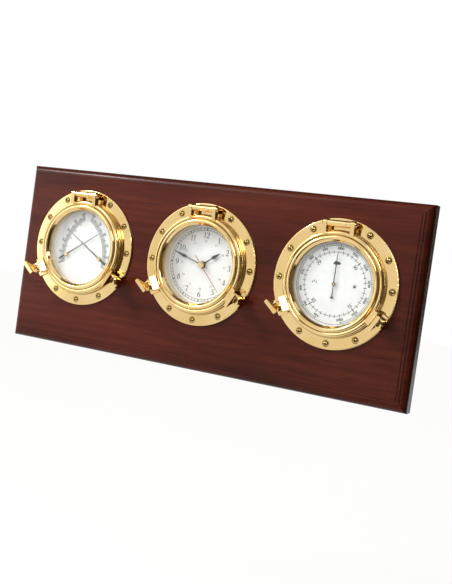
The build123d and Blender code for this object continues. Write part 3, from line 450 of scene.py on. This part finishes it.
# %% A row of ticks
tick_tree, (count, radius, length, width, first, step, ink) = new_tree(
    "tick_row", "Count", "Radius", "Length", "Width", "First", "Step"
)
angle = first + step * count.node("GeometryNodeInputIndex")
spot = angle.node(
    "ShaderNodeCombineXYZ", {},
    {0: radius * angle.maths("SINE", angle), 1: radius * angle.maths("COSINE", angle)},
)
turn = angle.node("ShaderNodeCombineXYZ", {}, {2: 0.0 - angle})
tick = count.node(
    "GeometryNodeMeshGrid", {}, {"Size X": width, "Size Y": length, "Vertices X": 2, "Vertices Y": 2}
)
spots = count.node("GeometryNodePoints", {}, {"Count": count, "Position": spot})
row = count.node(
    "GeometryNodeInstanceOnPoints", {}, {"Points": spots, "Instance": tick, "Rotation": turn}
)
end_tree(row, ink)
print("tree:", tick_tree.name)

# %% A ring or an arc
ring_tree, (count, radius, width, first, sweep, ink) = new_tree(
    "ring_line", "Count", "Radius", "Width", "First", "Sweep"
)
flat = count.node(
    "GeometryNodeMeshGrid", {}, {"Size X": 1.0, "Size Y": width, "Vertices X": count, "Vertices Y": 2}
)
share, across, _ = axes(count.node("GeometryNodeInputPosition"))
angle = first + sweep * (share + 0.5)
reach = radius + across
bent = angle.node(
    "ShaderNodeCombineXYZ", {},
    {0: reach * angle.maths("SINE", angle), 1: reach * angle.maths("COSINE", angle)},
)
ring = count.node("GeometryNodeSetPosition", {}, {"Geometry": flat, "Position": bent})
end_tree(ring, ink)
print("tree:", ring_tree.name)

# %% Running a tree
ring_points = 121


def grow(tree, ink, **sizes):
    """Runs a tree with these sizes, lengths in millimetres and angles in degrees, and returns a mesh."""
    holder = bpy.data.objects.new(tree.name, bpy.data.meshes.new(tree.name))
    bpy.context.scene.collection.objects.link(holder)
    modifier = holder.modifiers.new("grow", "NODES")
    modifier.node_group = tree
    for item in tree.interface.items_tree:
        if item.in_out == "OUTPUT":
            continue
        if item.name == "Ink":
            modifier[item.identifier] = ink
        elif item.name == "Count":
            modifier[item.identifier] = sizes["Count"]
        elif item.name in ("First", "Step", "Sweep"):
            modifier[item.identifier] = radians(sizes[item.name])
        else:
            modifier[item.identifier] = sizes[item.name] * mm
    mesh = bpy.data.meshes.new_from_object(holder.evaluated_get(bpy.context.evaluated_depsgraph_get()))
    bpy.data.objects.remove(holder)
    return mesh


def ticks(ink, count, inner, outer, width, first, step):
    """A row of ticks between two radii, from a first angle on."""
    return grow(tick_tree, inks[ink], Count=count, Radius=(inner + outer) / 2, Length=outer - inner,
                Width=width, First=first, Step=step)


def ring_line(ink, radius, width, first=0.0, sweep=360.0):
    """A ring, or an arc of it."""
    return grow(ring_tree, inks[ink], Count=ring_points, Radius=radius, Width=width, First=first, Sweep=sweep)


print("ready to grow: ticks and rings")

# %% [markdown]
# ## Numerals drawn with a broad pen
# The clock's figures have thick and thin strokes and small serifs, which the built-in font lacks. Each figure
# could be an outline of many points. Drawing it as a pen would is shorter: a few points with the half width
# of the stroke at each, joined by a smooth ribbon, in a box one unit high.

# %% The ten figures
thin, thick = 0.022, 0.072
figures = {
    "1": [
        [(0.3, 0.0, 0.062), (0.3, 0.99, 0.062)],
        [(0.1, 0.85, 0.012), (0.22, 0.91, 0.03), (0.33, 0.985, 0.014)],
        [(0.12, 0.016, 0.016), (0.48, 0.016, 0.016)],
    ],
    "2": [
        [(0.065, 0.73, 0.018), (0.14, 0.9, 0.035), (0.3, 0.968, 0.032), (0.47, 0.9, 0.062),
         (0.52, 0.73, 0.072), (0.44, 0.52, 0.058), (0.26, 0.27, 0.034), (0.06, 0.05, 0.022)],
        [(0.05, 0.055, 0.055), (0.57, 0.055, 0.055)],
        [(0.55, 0.05, 0.045), (0.64, 0.22, 0.01)],
    ],
    "3": [
        [(0.08, 0.77, 0.018), (0.16, 0.91, 0.034), (0.31, 0.97, 0.028), (0.45, 0.9, 0.055),
         (0.49, 0.78, 0.062), (0.42, 0.63, 0.045), (0.22, 0.53, 0.016)],
        [(0.22, 0.535, 0.018), (0.42, 0.5, 0.04), (0.545, 0.33, 0.068), (0.5, 0.14, 0.06),
         (0.32, 0.03, 0.026), (0.17, 0.045, 0.034), (0.07, 0.1, 0.05)],
    ],
    "4": [
        [(0.46, 0.0, 0.06), (0.46, 1.0, 0.06)],
        [(0.46, 0.985, 0.024), (0.06, 0.29, 0.024)],
        [(0.03, 0.27, 0.042), (0.66, 0.27, 0.042)],
    ],
    "5": [
        [(0.19, 0.935, 0.052), (0.57, 0.945, 0.052)],
        [(0.19, 0.95, 0.022), (0.125, 0.57, 0.022)],
        [(0.12, 0.565, 0.022), (0.28, 0.6, 0.045), (0.46, 0.52, 0.065), (0.54, 0.34, 0.072),
         (0.48, 0.14, 0.058), (0.3, 0.03, 0.028), (0.16, 0.045, 0.034), (0.06, 0.1, 0.048)],
    ],
    "6": [
        [(0.61, 0.985, 0.012), (0.42, 0.9, 0.034), (0.22, 0.7, 0.062), (0.11, 0.42, 0.072),
         (0.15, 0.15, 0.055), (0.34, 0.025, 0.024), (0.53, 0.13, 0.058), (0.58, 0.32, 0.07),
         (0.51, 0.52, 0.052), (0.37, 0.595, 0.03), (0.23, 0.56, 0.022), (0.14, 0.48, 0.02)],
    ],
    "7": [
        [(0.05, 0.94, 0.055), (0.63, 0.94, 0.055)],
        [(0.08, 0.95, 0.042), (0.03, 0.77, 0.012)],
        [(0.6, 0.92, 0.03), (0.42, 0.46, 0.048), (0.3, 0.0, 0.06)],
    ],
}
figures["9"] = [[(0.70 - x, 1.0 - y, w) for x, y, w in stroke] for stroke in figures["6"]]


def loop(x, y, wide, high):
    """A closed oval stroke, thick at its sides."""
    around = [radians(15 * step) for step in range(25)]
    halves = [thin + (thick - thin) * abs(cos(a)) ** 1.5 for a in around]
    return [(x + (wide - w) * cos(a), y + (high - w) * sin(a), w) for a, w in zip(around, halves)]


figures["0"] = [loop(0.35, 0.5, 0.31, 0.5)]
figures["8"] = [loop(0.35, 0.755, 0.235, 0.245), loop(0.35, 0.275, 0.285, 0.275)]
usual_advance, advance = 0.70, {"1": 0.58}
print("figures:", *sorted(figures))


# %% Ribbons and numbers
def smooth(points, parts=5):
    """More points on a smooth line through these."""
    if len(points) < 3:
        return np.array(points)
    p = np.array([points[0], *points, points[-1]])
    t = np.linspace(0.0, 1.0, parts, endpoint=False)[:, None]
    runs = [
        0.5 * (2 * b + (c - a) * t + (2 * a - 5 * b + 4 * c - d) * t**2 + (3 * b - a - 3 * c + d) * t**3)
        for a, b, c, d in zip(p[:-3], p[1:-2], p[2:-1], p[3:])
    ]
    return np.concatenate([*runs, p[-1:]])


def ribbon(sheet, points, fit):
    """Adds a flat stroke through points of (x, y, half width) to a sheet, placed by fit."""
    line = smooth(points)
    way = np.gradient(line[:, :2], axis=0)
    way /= np.linalg.norm(way, axis=1)[:, None]
    side = np.stack([-way[:, 1], way[:, 0]], 1) * line[:, 2:]
    left, right = (
        [sheet.verts.new(fit @ Vector((x, y, 0.0))) for x, y in line[:, :2] + sign * side] for sign in (1, -1)
    )
    for k in range(len(line) - 1):
        sheet.faces.new((right[k], right[k + 1], left[k + 1], left[k]))


def write(sheet, number, height, angle, radius, centre=(0.0, 0.0), upright=False, weight=1.0):
    """Writes a number on a sheet, centred so far out at a clock angle, its feet towards the centre."""
    total = sum(advance.get(letter, usual_advance) for letter in number)
    x, y = centre[0] + radius * sin(radians(angle)), centre[1] + radius * cos(radians(angle))
    spin = Matrix.Identity(4) if upright else Matrix.Rotation(radians(-angle), 4, "Z")
    base = Matrix.Translation((x * mm, y * mm, 0.0)) @ spin @ Matrix.Scale(height * mm, 4)
    pen = -total / 2
    for letter in number:
        for stroke in figures[letter]:
            bold = [(x, y, weight * half) for x, y, half in stroke]
            ribbon(sheet, bold, base @ Matrix.Translation((pen, -0.5, 0.0)))
        pen += advance.get(letter, usual_advance)


print("pen ready")

# %% Laying a print on a dial
ink_height = 0.04 * mm
facing = Matrix(((1, 0, 0), (0, 0, -1), (0, 1, 0))).to_4x4()


def lay_print(name, dial, ink, sheet, grown=(), centres=None):
    """Puts drawn and grown shapes on a dial's face as one piece that goes with the plaque."""
    for k, mesh in enumerate(grown):
        shift = Matrix.Translation(Vector((*(centres[k] if centres else (0.0, 0.0)), 0.0)) * mm)
        mesh.transform(shift)
        sheet.from_mesh(mesh)
    low, high = (Vector(corner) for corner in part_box(dial))
    middle = (low + high) / 2
    sheet.transform(Matrix.Translation((middle.x, low.y - ink_height, middle.z)) @ facing)
    mesh = bpy.data.meshes.new(name)
    sheet.to_mesh(mesh)
    sheet.free()
    mesh.materials.append(inks[ink])
    piece = bpy.data.objects.new(name, mesh)
    bpy.context.scene.collection.objects.link(piece)
    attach(piece, "plaque")
    print(name, "faces:", len(mesh.polygons))


print("ink lies", round(ink_height / mm, 2), "mm above a dial")

# %% [markdown]
# ## The clock's face
# Twelve upright figures, a small second ring of afternoon hours in blue-grey, and a railway track of minutes
# with a block at each fifth one. Everything is ink on one plane, so overlapping strokes do no harm.

# %% Clock print
hour_height, hour_radius, afternoon_height, afternoon_radius = 6.5, 34.0, 2.5, 27.4
track_inner, track_outer, track_line, block_inner, block_outer = 39.7, 42.3, 0.42, 39.5, 42.5
sheet = bmesh.new()
for hour in range(1, 13):
    write(sheet, str(hour), hour_height, 30 * hour, hour_radius, upright=True, weight=1.15)
track = [
    ring_line("black", track_inner, track_line),
    ring_line("black", track_outer, track_line),
    ticks("black", 60, track_inner, track_outer, 0.50, 0.0, 6.0),
    ticks("black", 12, block_inner, block_outer, 1.3, 0.0, 30.0),
]
lay_print("clock_figures", "clock_dial", "black", sheet, track)
sheet = bmesh.new()
for hour in range(13, 25):
    write(sheet, str(hour), afternoon_height, 30 * (hour - 12), afternoon_radius, upright=True, weight=1.5)
lay_print("clock_afternoon_figures", "clock_dial", "grey", sheet)

# %% [markdown]
# ## The barometer's face
# Two scales share one turn: hectopascals outside, inches of mercury inside, at 90 degrees to the inch. The
# numbers lean with their scale, so they are written along it. Small signs for rain, change and fair weather
# stand inside: the drops are strokes of the same pen, the sun and the cloud are round spots of ink.

# %% Barometer print
first_hectopascal, hectopascal_step = 203.0, 2.66
first_inch, inch_step = 207.0, 9.0
outer_ring, pressure_ring, inch_ring = 42.8, 40.8, 34.0
sheet = bmesh.new()
for k in range(13):
    write(sheet, str(940 + 10 * k), 2.8, first_hectopascal + 10 * hectopascal_step * k, 38.2, weight=2.0)
for k in range(4):
    write(sheet, str(28 + k), 3.8, first_inch + inch_step * (2 + 10 * k), 28.8, weight=1.7)
scales = [
    ring_line("black", outer_ring, 0.40),
    ring_line("black", pressure_ring, 0.34, first_hectopascal, 120 * hectopascal_step),
    ticks("black", 121, pressure_ring, outer_ring, 0.36, first_hectopascal, hectopascal_step),
    ticks("black", 13, 40.0, outer_ring, 0.80, first_hectopascal, 10 * hectopascal_step),
    ring_line("black", inch_ring, 0.46),
    ticks("black", 40, 32.0, 36.0, 0.58, first_inch, inch_step),
    ticks("black", 4, 31.4, 36.2, 1.0, first_inch + 2 * inch_step, 10 * inch_step),
]
places = [(0.0, 0.0)] * len(scales)
print("barometer rows:", len(scales))


# %% Weather signs
def blob(sheet, x, y, radius):
    """A round spot of ink."""
    bmesh.ops.create_circle(
        sheet, cap_ends=True, segments=24, radius=radius * mm, matrix=Matrix.Translation((x * mm, y * mm, 0.0))
    )


def drop(sheet, x, y, size):
    """A rain drop, pointed at the top."""
    fit = Matrix.Translation((x * mm, y * mm, 0.0)) @ Matrix.Scale(size * mm, 4)
    ribbon(sheet, [(0.10, 1.0, 0.01), (0.04, 0.6, 0.16), (0.0, 0.25, 0.26), (0.0, 0.0, 0.03)], fit)


for k in range(3):
    drop(sheet, -24.6 + 2.0 * k, -1.6 + 1.3 * (k % 2), 2.6)
sun = (22.6, 0.0)
blob(sheet, *sun, 1.5)
scales.append(ticks("black", 8, 2.1, 3.2, 0.32, 0.0, 45.0))
places.append(sun)
for x, y, radius in ((-3.0, 22.0, 1.2), (-1.2, 22.6, 1.9), (1.2, 22.4, 1.7), (3.0, 21.9, 1.1)):
    blob(sheet, x, y, radius)
lay_print("barometer_scales", "barometer_dial", "black", sheet, scales, places)

# %% [markdown]
# ## The comfort meter's face
# Each needle reads on an arc round its own pivot, on the far side of the dial, so the needles cross. The left
# arc has two rows for the two temperature units, the right one reads humidity in percent.

# %% Comfort print
pivot_spread, pivot_drop = 24.0, 10.9
arc_first, arc_sweep = 100.8, 69.0
arc_radii = inner_row, middle_row, outer_row = 51.9, 54.4, 57.0
unit = arc_sweep / 100
sheet, scales, places = bmesh.new(), [], []
for side in (1, -1):
    pivot = (side * pivot_spread, -pivot_drop)
    start = -side * arc_first
    rows = [
        ring_line("black", radius, 0.30, start, side * arc_sweep) for radius in arc_radii
    ] + [
        ticks("black", 51, middle_row, outer_row, 0.48, start, side * 2 * unit),
        ticks("black", 11, middle_row, 58.0, 0.90, start, side * 10 * unit),
        ticks("black", 56, inner_row, middle_row, 0.46, start + side * 0.4 * unit, side * 1.8 * unit),
    ]
    scales += rows
    places += [pivot] * len(rows)
    for value in range(0, 101, 20):
        write(sheet, str(value), 2.8, start + side * value * unit, 59.7, pivot, weight=1.7)
for inner in range(0, 31, 10):
    angle = -arc_first + (32 + 1.8 * inner) * unit
    write(sheet, str(inner), 2.1, angle, 50.0, (pivot_spread, -pivot_drop), weight=1.5)
lay_print("comfort_scales", "comfort_dial", "black", sheet, scales, places)

# %% [markdown]
# ## Studio
# The object hangs in front of nothing, with a pale floor well below it. The white background could come from
# more light, but that would wash out the dials. So the floor and the world are white only where the camera, a
# mirror image or a look through glass meets them. A share of the floor's own shading stays, for the shadow.

# %% Floor
def looked_at(wire):
    """1 for a ray from the camera, off a mirror or through glass."""
    camera, mirror, glass = (
        wire.node("ShaderNodeLightPath", out=f"Is {kind} Ray") for kind in ("Camera", "Glossy", "Transmission")
    )
    return camera + mirror + glass


floor_drop, floor_half = 0.30, 6.0
floor_z = cad_box[0][2] - floor_drop
floor_corners = [(x * floor_half, y * floor_half, floor_z) for x, y in ((-1, -1), (1, -1), (1, 1), (-1, 1))]
floor_mesh = bpy.data.meshes.new("floor")
floor_mesh.from_pydata(floor_corners, [], [(0, 1, 2, 3)])
floor = bpy.data.objects.new("floor", floor_mesh)
bpy.context.scene.collection.objects.link(floor)
pale, place, plug = new_finish("pale_floor", Specular_IOR_Level=0.0)
plug("Base Color", ramp(noise(place, 2.0), (0.3, (0.58, 0.58, 0.58)), (0.7, (0.62, 0.62, 0.62))))
tree = pale.node_tree
lit = Wire(tree, tree.nodes["Principled BSDF"].outputs[0])
white_share, shadow_share = 0.95, 0.2
glow = lit.node(
    "ShaderNodeEmission", {}, {"Color": (1.0, 1.0, 1.0, 1.0), "Strength": white_share / (1 - shadow_share)}
)
shown = lit.node("ShaderNodeMixShader", {}, {0: (1 - shadow_share) * looked_at(lit), 1: lit, 2: glow})
lit.plug(tree.nodes["Material Output"].inputs["Surface"], shown)
floor_mesh.materials.append(pale)
print("floor:", floor_drop, "m below the plaque")

# %% World
world = bpy.data.worlds.new("studio")
world.use_nodes = True
bpy.context.scene.world = world
tree = world.node_tree
tree.nodes.clear()
start = Wire(tree)
white = start.node("ShaderNodeBackground", {}, {"Color": (1.0, 1.0, 1.0, 1.0), "Strength": 1.0})
soft = start.node("ShaderNodeBackground", {}, {"Color": (1.0, 0.77, 0.56, 1.0), "Strength": 0.22})
both = start.node("ShaderNodeMixShader", {}, {0: looked_at(start), 1: soft, 2: white})
start.plug(tree.nodes.new("ShaderNodeOutputWorld").inputs["Surface"], both)
print("world: white to look at, soft and warm as light")

# %% [markdown]
# ## Lamps
# A large key box and a small box behind it light the dials from the upper left, so the rims throw soft shadows
# on them. A third box stands at the left, where the flat flanges mirror it. A lamp beside the camera would fill
# the shadows, so the two boxes on that side light no paint or wood: they only draw streaks on polished faces.

# %% Lamps
lamp_aim, lamp_colour = Vector((0.0, 0.0, -0.08)), (0.95, 0.985, 1.0)


def lamp(name, place, wide, high, power, streaks_only=False):
    """A soft box that faces the middle of the plaque."""
    light = bpy.data.lights.new(name, "AREA")
    light.shape, light.size, light.size_y, light.energy = "RECTANGLE", wide, high, power
    light.color = lamp_colour
    box = bpy.data.objects.new(name, light)
    box.location = place
    box.rotation_euler = (lamp_aim - Vector(place)).to_track_quat("-Z", "Y").to_euler()
    box.visible_diffuse = not streaks_only
    bpy.context.scene.collection.objects.link(box)
    print(name, power, "W")


lamp("key_box", (-1.1, -1.2, 0.80), 1.4, 1.0, 9.6)
lamp("shadow_box", (-1.05, -0.90, 0.95), 0.24, 0.24, 7.6)
lamp("left_box", (-1.75, -1.45, 0.12), 0.8, 0.9, 2.9)
lamp("streak_box", (0.46, -1.43, 0.10), 0.10, 1.2, 1.6, streaks_only=True)
lamp("camera_box", (0.60, -1.15, 0.52), 0.95, 0.22, 5.0, streaks_only=True)

# %% [markdown]
# ## Cloths
# Polished brass shows whatever stands round it, and white on every side makes it look like paper. So dark and
# brown cloths hang behind the camera, at the right and overhead, and one lies on the floor. Only reflections
# see them: to the camera, the lamps and the floor they aren't there.

# %% Cloths
def cloth_finish(name, dark, light):
    """A dull cloth between two tones."""
    finish, place, plug = new_finish(name, Specular_IOR_Level=0.0)
    plug("Base Color", ramp(noise(place, 40.0), (0.3, dark), (0.7, light)))
    return finish


def cloth(name, finish, corners):
    """A sheet that the camera, the lamps' light and the floor don't notice."""
    mesh = bpy.data.meshes.new(name)
    mesh.from_pydata(corners, [], [(0, 1, 2, 3)])
    mesh.materials.append(finish)
    sheet = bpy.data.objects.new(name, mesh)
    bpy.context.scene.collection.objects.link(sheet)
    sheet.visible_camera = sheet.visible_diffuse = sheet.visible_shadow = False
    print(name)


cloth_foot, cloth_top = floor_z + 5 * mm, 1.2


def hang(name, finish, start, end):
    """A cloth that hangs down to a line on the floor."""
    cloth(name, finish, [(*start, cloth_foot), (*end, cloth_foot), (*end, cloth_top), (*start, cloth_top)])


def spread(name, finish, first, last, level):
    """A cloth spread out level between two corners."""
    (left, front), (right, back) = first, last
    corners = ((left, front), (right, front), (right, back), (left, back))
    cloth(name, finish, [(*corner, level) for corner in corners])


dark_cloth = cloth_finish("dark_cloth", (0.13, 0.10, 0.07), (0.17, 0.14, 0.10))
brown_cloth = cloth_finish("brown_cloth", (0.36, 0.30, 0.22), (0.43, 0.37, 0.28))
hang("front_cloth", dark_cloth, (-0.05, -1.98), (1.5, -1.1))
hang("right_cloth", brown_cloth, (1.5, -1.1), (1.5, 9.0))
spread("ceiling_cloth", brown_cloth, (-1.5, -0.4), (1.5, 1.5), cloth_top)
spread("floor_cloth", dark_cloth, (0.0, -1.9), (1.5, -0.35), cloth_foot)

# %% [markdown]
# ## Camera
# The photograph was fitted with a pinhole camera: the board's outline and the three round flanges give its
# place, its aim and the tilt of the frame. The tilt stays in the camera, so the plaque itself hangs level.

# %% Camera
camera_place, camera_aim = Vector((0.4850, -0.9233, -0.0587)), Vector((0.0369, -0.0220, -0.0967))
camera_roll, focal_pixels, photo_height, sensor = 7.948, 898.2, 584, 36.0
camera_data = bpy.data.cameras.new("camera")
camera_data.sensor_width, camera_data.sensor_fit = sensor, "AUTO"
camera_data.lens = focal_pixels / photo_height * sensor
camera = bpy.data.objects.new("camera", camera_data)
aimed = (camera_aim - camera_place).to_track_quat("-Z", "Y").to_matrix().to_4x4()
camera.matrix_world = Matrix.Translation(camera_place) @ aimed @ Matrix.Rotation(radians(camera_roll), 4, "Z")
bpy.context.scene.collection.objects.link(camera)
bpy.context.scene.camera = camera
bpy.context.scene.view_settings.view_transform = "Standard"
print("lens:", round(camera_data.lens, 2), "mm")
